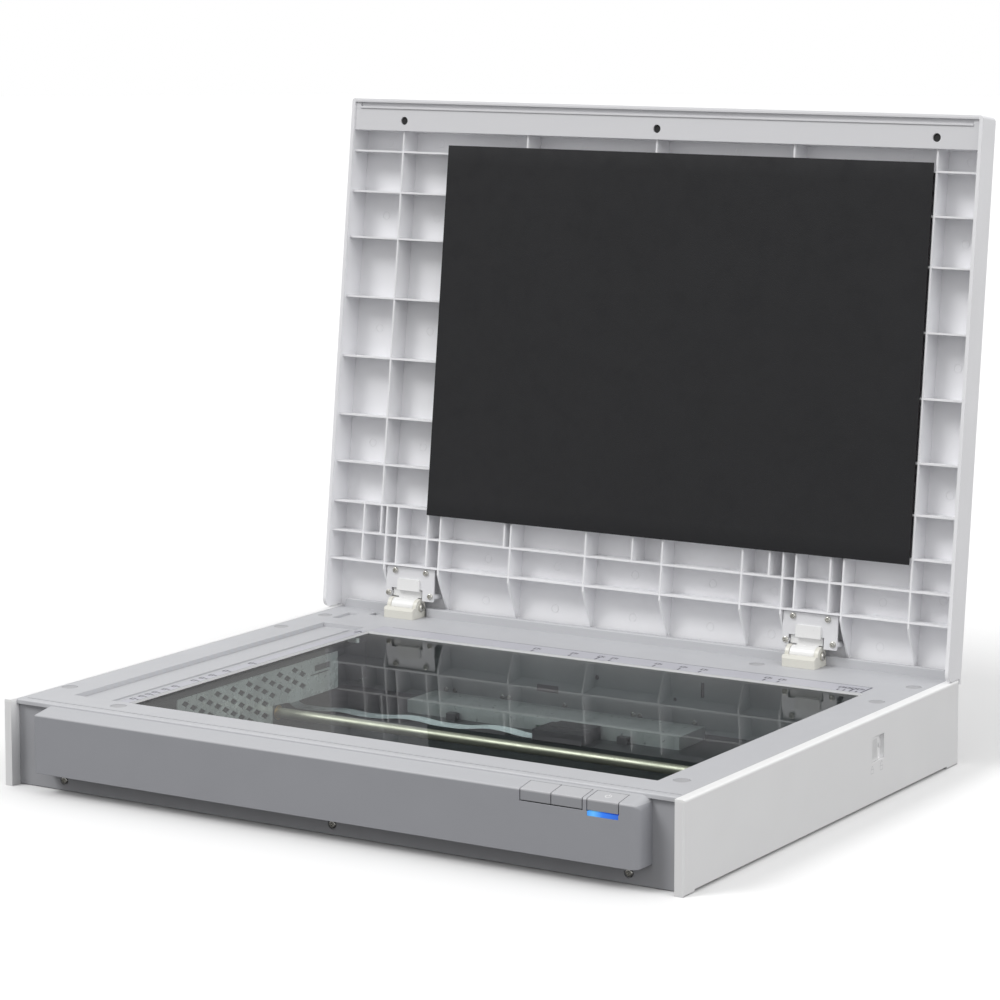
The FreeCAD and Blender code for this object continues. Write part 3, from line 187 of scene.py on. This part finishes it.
def along_x(tree, low, high):
    """0 at x = low and 1 at x = high, in the row frame."""
    place = tree.nodes.new("ShaderNodeTexCoord").outputs["Object"]
    split = tree.nodes.new("ShaderNodeSeparateXYZ")
    tree.links.new(place, split.inputs["Vector"])
    node = tree.nodes.new("ShaderNodeMapRange")
    node.inputs["From Min"].default_value = low
    node.inputs["From Max"].default_value = high
    tree.links.new(split.outputs["X"], node.inputs["Value"])
    return node.outputs["Result"]


def lid_place(tree):
    """Object space turned into the open lid's millimetres."""
    mapping = tree.nodes.new("ShaderNodeMapping")
    mapping.inputs["Location"].default_value = LID.inverted().translation
    mapping.inputs["Rotation"].default_value = (LID_LEAN, 0, 0)
    mapping.inputs["Scale"].default_value = (1 / MM, 1 / MM, 1 / MM)
    tree.links.new(tree.nodes.new("ShaderNodeTexCoord").outputs["Object"], mapping.inputs["Vector"])
    return mapping.outputs["Vector"]


def within(tree, low, high, place=None):
    """1 inside the box from low to high, 0 outside it; in the row frame unless another place is given."""
    place = place or tree.nodes.new("ShaderNodeTexCoord").outputs["Object"]
    split = tree.nodes.new("ShaderNodeSeparateXYZ")
    tree.links.new(place, split.inputs["Vector"])
    total = None
    for axis, a, b in zip("XYZ", low, high):
        side = tree.nodes.new("ShaderNodeMath")
        side.operation = "COMPARE"
        side.inputs[1].default_value = (a + b) / 2
        side.inputs[2].default_value = (b - a) / 2
        tree.links.new(split.outputs[axis], side.inputs[0])
        if total is None:
            total = side.outputs["Value"]
            continue
        both = tree.nodes.new("ShaderNodeMath")
        both.operation = "MULTIPLY"
        tree.links.new(total, both.inputs[0])
        tree.links.new(side.outputs["Value"], both.inputs[1])
        total = both.outputs["Value"]
    return total


def recolour(material, amount, colour):
    """Blends the finish's base colour towards another one where amount is 1."""
    tree = material.node_tree
    socket = tree.nodes["Principled BSDF"].inputs["Base Color"]
    before = socket.links[0].from_socket
    mix = tree.nodes.new("ShaderNodeMix")
    mix.data_type = "RGBA"
    mix.inputs["B"].default_value = (*colour, 1.0)
    tree.links.new(amount, mix.inputs["Factor"])
    tree.links.new(before, mix.inputs["A"])
    tree.links.new(mix.outputs["Result"], socket)


def case_finish():
    """Grey tub whose inside is painted near black: painted shade for the dim bay under the glass."""
    material = finish("case_grey", (0.42, 0.424, 0.445), 0.5, mottle=0.03, grain=0.0005, relief=0.2,
                      edge=0.0004)
    low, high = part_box("bottom_case")
    skin, floor = 1.5 * MM, 3.2 * MM        # the outer grey reaches this far in
    painted_shade_low = Vector((low.x + skin, low.y + skin, low.z + floor))
    painted_shade_high = Vector((high.x - skin, high.y - skin, high.z + skin))
    # painted shade: inside the tub the grey is coloured near black, standing in for the shade under the glass
    recolour(material, within(material.node_tree, painted_shade_low, painted_shade_high), (0.020, 0.022, 0.023))
    return material


def deck_finish():
    """Deck grey, with a painted highlight: the moulded walls round the glass are painted bright."""
    material = finish("deck_grey", (0.53, 0.535, 0.555), 0.52, mottle=0.015, grain=0.0004, relief=0.25,
                      edge=0.0004)
    low, high = DECK @ Vector(HIGHLIT_WALLS_LOW), DECK @ Vector(HIGHLIT_WALLS_HIGH)
    # painted highlight: the walls round the glass are coloured near white where light catches them
    recolour(material, within(material.node_tree, low, high), (0.84, 0.84, 0.85))
    return material


def front_finish(name, colour, painted_lit_top_colour):
    """Grey of the front bar and keys, with painted light: the upright face is painted darker as shade, the sloping
    top lighter as lit.
    """
    material = finish(name, colour, 0.46, mottle=0.018, grain=0.0005, relief=0.12, edge=0.0005)
    tree = material.node_tree
    top = DECK.translation.z - FACE_DROP * MM
    # painted light: everything above this height takes the lighter lit-top colour, the face below keeps the shaded
    # colour
    recolour(material, within(tree, (-FAR, -FAR, top), (FAR, FAR, FAR)), painted_lit_top_colour)
    return material


def bar_finish():
    """The bar's finish, with painted shade: the walls of the notches that the keys sit in are painted near black.
    """
    material = front_finish("bar_grey", (0.35, 0.355, 0.38), (0.475, 0.48, 0.50))
    room_low, room_high = Vector((0.38, -0.5, 1.0)) * MM, Vector((0.38, 0.38, 0.0)) * MM
    for key in ("scan_button", "copy_button", "power_button"):
        low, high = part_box(key)
        # painted shade: the notch walls round each key are coloured near black
        notch_shade = within(material.node_tree, low - room_low, high + room_high)
        recolour(material, notch_shade, (0.05, 0.05, 0.055))
    return material


def lid_finish():
    """Lid grey, a little darker on the flat band along its free edge and on its broad outer face."""
    material = finish("lid_grey", (0.88, 0.88, 0.90), 0.48, mottle=0.02, grain=0.0005, relief=0.10,
                      edge=0.0004)
    tree = material.node_tree
    recolour(material, within(tree, BAND_LOW, BAND_HIGH, lid_place(tree)), (0.74, 0.74, 0.76))
    far = FAR / MM
    outer_face = within(tree, (-far, LID_BACK - 0.15, -far), (far, far, far), lid_place(tree))
    recolour(material, outer_face, (0.66, 0.66, 0.68))
    return material


def panel_finish():
    """Glossy white end covers, with a painted highlight along the top edge."""
    material = finish("panel_white", (0.87, 0.87, 0.875), 0.36, mottle=0.012, grain=0.0006, relief=0.05,
                      edge=0.0006)
    painted_highlight_top_edge = within(material.node_tree, (-FAR, -FAR, panel_high.z - 2.0 * MM), (FAR, FAR, FAR))
    # painted highlight: a lighter white along the top edge
    recolour(material, painted_highlight_top_edge, (0.94, 0.94, 0.94))
    return material


def light_pipe_finish():
    """Clear plastic lit from its left end: cyan where the lamp is, deep blue at the far end."""
    material = finish("light_pipe", (0.05, 0.18, 0.55), 0.2, relief=0.05)
    tree = material.node_tree
    shader = tree.nodes["Principled BSDF"]
    low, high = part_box("led_light_pipe")
    glow = ramp(tree, along_x(tree, low.x, high.x),
                [(0.0, (0.06, 0.34, 0.85)), (0.2, (0.16, 0.56, 0.90)), (0.5, (0.02, 0.14, 0.75)),
                 (1.0, (0.01, 0.04, 0.40))])
    tree.links.new(glow, shader.inputs["Emission Color"])
    shader.inputs["Emission Strength"].default_value = 0.7
    return material


def flat_cable_finish():
    """White laminated cable with fine conductor lines along its length."""
    material = finish("cable_white", (0.74, 0.80, 0.82), 0.28, relief=0.05, coat=0.3)
    tree = material.node_tree
    place = tree.nodes.new("ShaderNodeTexCoord").outputs["Object"]
    lines = tree.nodes.new("ShaderNodeTexWave")
    lines.bands_direction = "Y"
    lines.inputs["Scale"].default_value = 300.0
    tree.links.new(place, lines.inputs["Vector"])
    colour = ramp(tree, lines.outputs["Fac"], [(0.25, (0.60, 0.67, 0.70)), (0.55, (0.82, 0.87, 0.88))])
    tree.links.new(colour, tree.nodes["Principled BSDF"].inputs["Base Color"])
    return material


def board_finish():
    """Green solder mask with paler tracks and tinned pads."""
    material = finish("circuit_board", (0.02, 0.14, 0.06), 0.3, relief=0.05)
    tree = material.node_tree
    place = tree.nodes.new("ShaderNodeTexCoord").outputs["Object"]
    tracks = tree.nodes.new("ShaderNodeTexBrick")
    tracks.inputs["Scale"].default_value = 90.0
    tracks.inputs["Mortar Size"].default_value = 0.03
    tracks.inputs["Color1"].default_value = (0.02, 0.14, 0.06, 1)
    tracks.inputs["Color2"].default_value = (0.03, 0.17, 0.08, 1)
    tracks.inputs["Mortar"].default_value = (0.08, 0.30, 0.14, 1)
    tree.links.new(place, tracks.inputs["Vector"])
    tree.links.new(tracks.outputs["Color"], tree.nodes["Principled BSDF"].inputs["Base Color"])
    return material


BRUSH_X = (0.03, 1, 1)      # grain drawn out along X
finishes = {
    "panel_white": panel_finish(),
    "lid_grey": lid_finish(),
    "deck_grey": deck_finish(),
    "bar_grey": bar_finish(),
    "case_grey": case_finish(),
    # the keys' two colours are a painted shaded face and a painted lit top
    "key_grey": front_finish("key_grey", (0.33, 0.335, 0.355), (0.49, 0.493, 0.51)),
    "mat_black": finish("mat_black", (0.020, 0.020, 0.022), 0.6, mottle=0.04, grain=0.0007, relief=0.5,
                        rough_spread=0.1, specular=0.28),
    "foam_black": finish("foam_black", (0.03, 0.03, 0.03), 0.95, mottle=0.3, patch=0.004, grain=0.0009,
                         relief=1.0),
    "platen_glass": platen_finish(),
    "light_pipe": light_pipe_finish(),
    "cream_plastic": finish("cream_plastic", (0.70, 0.69, 0.63), 0.3, mottle=0.015, relief=0.04,
                            edge=0.0003),
    "strap_white": finish("strap_white", (0.82, 0.82, 0.815), 0.32, mottle=0.015, relief=0.04,
                          edge=0.0003),
    "plate_steel": finish("plate_steel", (0.82, 0.82, 0.84), 0.38, metallic=0.3, stretch=BRUSH_X,
                          relief=0.2, edge=0.0002),
    "screw_nickel": finish("screw_nickel", (0.62, 0.61, 0.57), 0.22, metallic=1.0, mottle=0.08,
                           patch=0.002, relief=0.1, edge=0.0002),
    "rod_steel": finish("rod_steel", (0.60, 0.56, 0.46), 0.45, metallic=1.0, stretch=(1, 0.05, 0.05),
                        relief=0.08),
    "sheet_steel": finish("sheet_steel", (0.40, 0.42, 0.415), 0.36, metallic=0.45, mottle=0.10,
                          patch=0.012, stretch=BRUSH_X, relief=0.2, rough_spread=0.1),
    "perforated_steel": finish("perforated_steel", (0.55, 0.565, 0.555), 0.30, metallic=0.40, mottle=0.20,
                               patch=0.022, stretch=BRUSH_X, relief=0.2, rough_spread=0.1),
    "inner_grey": finish("inner_grey", (0.28, 0.30, 0.305), 0.4, metallic=0.1, mottle=0.06, patch=0.02,
                         relief=0.15),
    "black_plastic": finish("black_plastic", (0.02, 0.02, 0.021), 0.45, mottle=0.1, relief=0.25,
                            edge=0.0003),
    "foot_rubber": finish("foot_rubber", (0.035, 0.035, 0.035), 0.8, mottle=0.15, patch=0.01, relief=0.4,
                          specular=0.3),
    "belt_rubber": finish("belt_rubber", (0.02, 0.02, 0.02), 0.7, mottle=0.15, patch=0.01,
                          stretch=BRUSH_X, relief=0.5),
    "circuit_board": board_finish(),
    "sleeve_bronze": finish("sleeve_bronze", (0.50, 0.33, 0.15), 0.4, metallic=1.0, mottle=0.15,
                            patch=0.004, relief=0.3),
    "mirror_glass": finish("mirror_glass", (0.88, 0.90, 0.90), 0.03, metallic=1.0, relief=0.0,
                           rough_spread=0.01),
    "cable_white": flat_cable_finish(),
    "strip_white": finish("strip_white", (0.85, 0.85, 0.83), 0.55, mottle=0.02, relief=0.1),
    "scale_lilac": finish("scale_lilac", (0.50, 0.50, 0.545), 0.42, mottle=0.015, relief=0.06),
    "cap_grey": finish("cap_grey", (0.42, 0.42, 0.435), 0.5, mottle=0.02, grain=0.0004, relief=0.2,
                       edge=0.0003),
    "lamp_clear": finish("lamp_clear", (0.80, 0.83, 0.80), 0.12, relief=0.03, coat=0.6),
    "ink_grey": finish("ink_grey", (0.045, 0.045, 0.06), 0.5, relief=0.05),
    "ink_light": finish("ink_light", (0.80, 0.80, 0.80), 0.5, relief=0.05),
    "ink_pale": finish("ink_pale", (0.62, 0.62, 0.63), 0.5, relief=0.05),
}
SMOOTH_ANGLE = math.radians(32)
OWN_FINISH = {"deck_screw_caps": "cap_grey", "carriage_side_plate": "perforated_steel"}
for part in frame["record"]["subparts"]:
    node = frame["nodes"][part["node"]]
    node.data.materials.clear()
    node.data.materials.append(finishes[OWN_FINISH.get(part["node"], part["material_slot"])])
    for face in node.data.polygons:
        face.use_smooth = True
    node.data.set_sharp_from_angle(angle=SMOOTH_ANGLE)


# ---- small mesh tools ---------------------------------------------------------------------------
def add_piece(name, bm, material, body):
    """Turns a bmesh into a named piece that rides on a body."""
    bmesh.ops.recalc_face_normals(bm, faces=bm.faces)
    mesh = bpy.data.meshes.new(name)
    bm.to_mesh(mesh)
    bm.free()
    mesh.materials.append(finishes[material])
    piece = bpy.data.objects.new(name, mesh)
    bpy.context.scene.collection.objects.link(piece)
    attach(piece, body)
    return piece


def add_stroke(bm, points, width, height, place, closed=False):
    """Raised line of a given width along points in the XY plane of place; its foot is on z = 0."""
    points = [Vector(p) for p in points]
    count = len(points)
    rails = []
    for i, point in enumerate(points):
        before = points[i - 1] if closed or i else points[i]
        after = points[(i + 1) % count] if closed or i < count - 1 else points[i]
        along = (after - before).normalized()
        side = Vector((-along.y, along.x)) * width / 2
        corners = [(point + side, 0), (point + side, height), (point - side, height), (point - side, 0)]
        rails.append([bm.verts.new(place @ Vector((p.x, p.y, z))) for p, z in corners])
    spans = range(count if closed else count - 1)
    for i in spans:
        here, there = rails[i], rails[(i + 1) % count]
        for k in range(4):
            bm.faces.new((here[k], here[(k + 1) % 4], there[(k + 1) % 4], there[k]))
    if not closed:
        bm.faces.new(rails[0])
        bm.faces.new(rails[-1])


def arc(centre, radius, start, end, steps=24):
    """Points on an arc, in degrees."""
    turns = [math.radians(start + (end - start) * i / steps) for i in range(steps + 1)]
    return [(centre[0] + radius * math.cos(t), centre[1] + radius * math.sin(t)) for t in turns]


# ---- the lid's soft parts -----------------------------------------------------------------------
def lid_box(node):
    """A lid node's (low, high) corners in the lid's own millimetres."""
    to_lid = LID.inverted()
    corners = [to_lid @ v.co for v in frame["nodes"][node].data.vertices]
    return [Vector(pick(c[i] for c in corners) for i in range(3)) for pick in (min, max)]


def add_pad(name, node, material, body, rounding, cell, swell):
    """Thin flexible slab in a node's place: rounded rim, divided faces, and a slight uneven swell."""
    low, high = lid_box(node)
    bm = bmesh.new()
    size = high - low
    place = Matrix.Translation((low + high) / 2) @ Matrix.Diagonal((*size, 1))
    bmesh.ops.create_cube(bm, size=1.0, matrix=place)
    bmesh.ops.bevel(bm, geom=bm.edges[:], offset=rounding, segments=3, affect="EDGES", profile=0.5)
    for axis in (0, 2):
        normal = Vector((axis == 0, 0, axis == 2))
        steps = round(size[axis] / cell)
        for i in range(1, steps):
            cut_at = low + size * (i / steps)
            everything = bm.verts[:] + bm.edges[:] + bm.faces[:]
            bmesh.ops.bisect_plane(bm, geom=everything, plane_co=cut_at, plane_no=normal)
    for v in bm.verts:
        across, up = (v.co.x - low.x) / size.x, (v.co.z - low.z) / size.z
        fade = math.sin(math.pi * min(max(across, 0), 1)) * math.sin(math.pi * min(max(up, 0), 1))
        ripple = math.sin(5.3 * across + 1.1) * math.cos(4.1 * up + 0.4)
        v.co.y += swell * fade * (0.6 + 0.4 * ripple)
    bm.transform(LID)
    pad = add_piece(name, bm, material, body)
    for face in pad.data.polygons:
        face.use_smooth = True
    pad.data.set_sharp_from_angle(angle=math.radians(50))
    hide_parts(node)


add_pad("mat_sheet", "document_mat", "mat_black", "lid", 0.35, 15.0, 0.25)
add_pad("mat_foam_pad", "mat_foam", "foam_black", "lid", 0.25, 12.0, -0.1)


# ---- printed and moulded marks ------------------------------------------------------------------
INK = 0.04          # thickness of printed marks, mm
UP_DECK = DECK @ Matrix.Translation((0, 0, -0.05))


def add_rear_scale():
    """Ticks for page sizes along the rear strip, each with a small page or arrow symbol behind it."""
    bm = bmesh.new()
    edge, far = 312.9, 333.0
    ticks = ((143, 5), (177, 5), (201, 8), (213, 5), (252, 5), (274, 5), (292, 5), (347, 5), (359, 5),
             (409, 4), (414, 4), (419, 8), (424, 4))
    for x, reach in ticks:
        add_stroke(bm, [(x, edge), (x, edge + reach)], 1.3, INK, UP_DECK)
        left, right, near, back = x - 2.6, x + 0.6, edge + 8.5, edge + 12.5
        page = [(left, near), (left, back), (right, back), (right, near)]
        add_stroke(bm, page, 1.2, INK, UP_DECK, closed=True)
        add_stroke(bm, [(x + 2.4, edge + 8.5), (x + 2.4, edge + 12.0)], 0.9, INK, UP_DECK)
    add_stroke(bm, [(0, far), (428, far)], 0.5, INK, UP_DECK)
    add_stroke(bm, [(428.6, edge), (428.6, far)], 1.2, INK, UP_DECK)
    add_piece("rear_scale_marks", bm, "ink_grey", "base")


def add_left_scale():
    """The same kind of ticks down the left strip, with an arrow at the corner where a page is placed."""
    bm = bmesh.new()
    edge, far = -10.9, -18.2
    for y in (13, 23, 31, 39, 51, 63, 87, 97, 109, 127, 160):
        add_stroke(bm, [(edge, y), (edge - 2.2, y)], 1.4, INK, UP_DECK)
        left, right, near, back = far + 0.5, far + 3.6, y - 1.6, y + 1.8
        page = [(left, near), (right, near), (right, back), (left, back)]
        add_stroke(bm, page, 1.2, INK, UP_DECK, closed=True)
    add_stroke(bm, [(-17.5, 303), (-14, 307.5), (-10.9, 303)], 1.0, INK, UP_DECK)
    add_stroke(bm, [(-14, 307.5), (-14, 298)], 1.0, INK, UP_DECK)
    add_piece("left_scale_marks", bm, "ink_grey", "base")


def add_power_mark():
    """Broken ring with a stem on the power key's sloping top."""
    low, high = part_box("power_button")
    slope = math.atan2(3.6, 21.0)           # rise over run of the key's top
    setback = 7.6                           # mm from the key's front to the ring's centre
    front_edge, lift = -4.6, 0.01           # the top's front edge from the deck, and the mark's gap, mm
    centre = Vector(((low.x + high.x) / 2, low.y + setback * MM, 0))
    rise = math.tan(slope) * (centre.y - low.y)
    top = DECK.translation.z + (front_edge + lift) * MM + rise
    place = Matrix.Translation((centre.x, centre.y, top)) @ Matrix.Rotation(slope, 4, "X")
    place = place @ Matrix.Scale(MM, 4)
    bm = bmesh.new()
    add_stroke(bm, arc((0, 0), 2.1, 125, 415), 0.5, INK, place)
    add_stroke(bm, [(0, 0.4), (0, 2.9)], 0.5, INK, place)
    add_piece("power_mark", bm, "ink_light", "power_key")


def add_lock_marks():
    """Two small padlock outlines below the lock slider, closed at one end of its travel, then open."""
    side = Matrix.Translation(Vector((panel_high.x, 0, 0))) @ Matrix.Rotation(math.radians(90), 4, "Z")
    side = side @ Matrix.Rotation(math.radians(90), 4, "X") @ Matrix.Scale(MM, 4)
    bm = bmesh.new()
    row = SCAN_CORNER / MM
    drop = 40.5                             # mm from the deck down to the marks' feet
    for y, lift in ((241.5, 0.0), (256.5, 1.2)):
        place = side @ Matrix.Translation((row.y + y, row.z - drop, 0))
        add_stroke(bm, [(-2.0, 0), (-2.0, 3.0), (2.0, 3.0), (2.0, 0)], 0.45, INK, place, closed=True)
        hasp = [(-1.2, 3.0), (-1.2, 4.0 + lift)] + arc((0, 4.0 + lift), 1.2, 180, 0, 8)
        add_stroke(bm, hasp if lift else hasp + [(1.2, 3.0)], 0.4, INK, place)
    add_piece("lock_marks", bm, "ink_pale", "base")


def add_ejector_marks():
    """Faint raised rings that the mould's ejector pins leave on the lid's inner skin."""
    depth = 21.52                           # mm into the lid, just off its inner skin
    skin = LID @ Matrix.Translation((0, depth, 0)) @ Matrix.Rotation(math.radians(90), 4, "X")
    bm = bmesh.new()
    places = [(x, h) for h in (60.0, 140.0, 236.0, 330.0, 391.5) for x in (-70.0, -20.0, 455.0)]
    places += [(x, h) for h in (20.0, 54.0, 394.0) for x in (50.0, 116.0, 188.0, 258.0, 312.0, 405.0)]
    for x, h in places:
        add_stroke(bm, arc((x, h), 3.2, 0, 345, 20), 0.45, 0.15, skin, closed=True)
    add_piece("lid_ejector_marks", bm, "lid_grey", "lid")


add_rear_scale()
add_left_scale()
add_power_mark()
add_lock_marks()
add_ejector_marks()


# ---- stage: floor, light, camera ----------------------------------------------------------------
def floor_finish():
    """White paper floor that throws back less light than it shows, as a cut-out product picture has."""
    material = finish("floor_white", (0.12, 0.12, 0.12), 0.9, mottle=0.005, patch=0.5, relief=0.0,
                      specular=0.1)
    seen = material.node_tree.nodes.new("ShaderNodeLightPath")
    recolour(material, seen.outputs["Is Camera Ray"], (0.93, 0.93, 0.93))
    return material


def add_floor():
    """Round floor that the scanner's feet stand on."""
    bm = bmesh.new()
    bmesh.ops.create_circle(bm, cap_ends=True, segments=64, radius=12.0)
    mesh = bpy.data.meshes.new("floor")
    bm.to_mesh(mesh)
    bm.free()
    mesh.materials.append(floor_finish())
    floor = bpy.data.objects.new("floor", mesh)
    bpy.context.scene.collection.objects.link(floor)


def add_sun(name, towards, angle, strength):
    """Broad, even light from far away: towards points from the object to the light."""
    data = bpy.data.lights.new(name, "SUN")
    data.angle = math.radians(angle)
    data.energy = strength
    light = bpy.data.objects.new(name, data)
    light.rotation_euler = Vector(towards).to_track_quat("Z", "Y").to_euler()
    bpy.context.scene.collection.objects.link(light)


def add_world():
    """Even white surroundings: dimmer as a light than as a backdrop."""
    world = bpy.data.worlds.new("studio")
    bpy.context.scene.world = world
    world.use_nodes = True
    tree = world.node_tree
    ambient = tree.nodes["Background"]
    ambient.inputs["Strength"].default_value = 0.72
    ambient.inputs["Color"].default_value = (1, 1, 1, 1)
    backdrop = tree.nodes.new("ShaderNodeBackground")
    backdrop.inputs["Color"].default_value = (1, 1, 1, 1)
    backdrop.inputs["Strength"].default_value = 1.0
    seen = tree.nodes.new("ShaderNodeLightPath")
    mix = tree.nodes.new("ShaderNodeMixShader")
    tree.links.new(seen.outputs["Is Camera Ray"], mix.inputs["Fac"])
    tree.links.new(ambient.outputs["Background"], mix.inputs[1])
    tree.links.new(backdrop.outputs["Background"], mix.inputs[2])
    tree.links.new(mix.outputs["Shader"], tree.nodes["World Output"].inputs["Surface"])


def add_camera():
    """Long lens at the photograph's viewing angle, shifted to frame the scanner as the photograph does."""
    data = bpy.data.cameras.new("camera")
    data.lens = 122.14
    data.sensor_width = 36.0
    data.shift_y = -0.1611
    data.clip_start, data.clip_end = 0.1, 60.0
    camera = bpy.data.objects.new("camera", data)
    camera.location = (1.31412, -2.11634, 0.60895)
    camera.rotation_euler = (math.radians(90 - 6.515), 0.0, math.radians(31.874))
    bpy.context.scene.collection.objects.link(camera)
    bpy.context.scene.camera = camera


add_floor()
add_world()
add_sun("left_light", (-0.40, -0.55, 0.73), 22.0, 1.25)
add_sun("right_light", (0.85, -0.10, 0.50), 50.0, 1.05)
add_camera()
bpy.context.scene.view_settings.view_transform = "Standard"
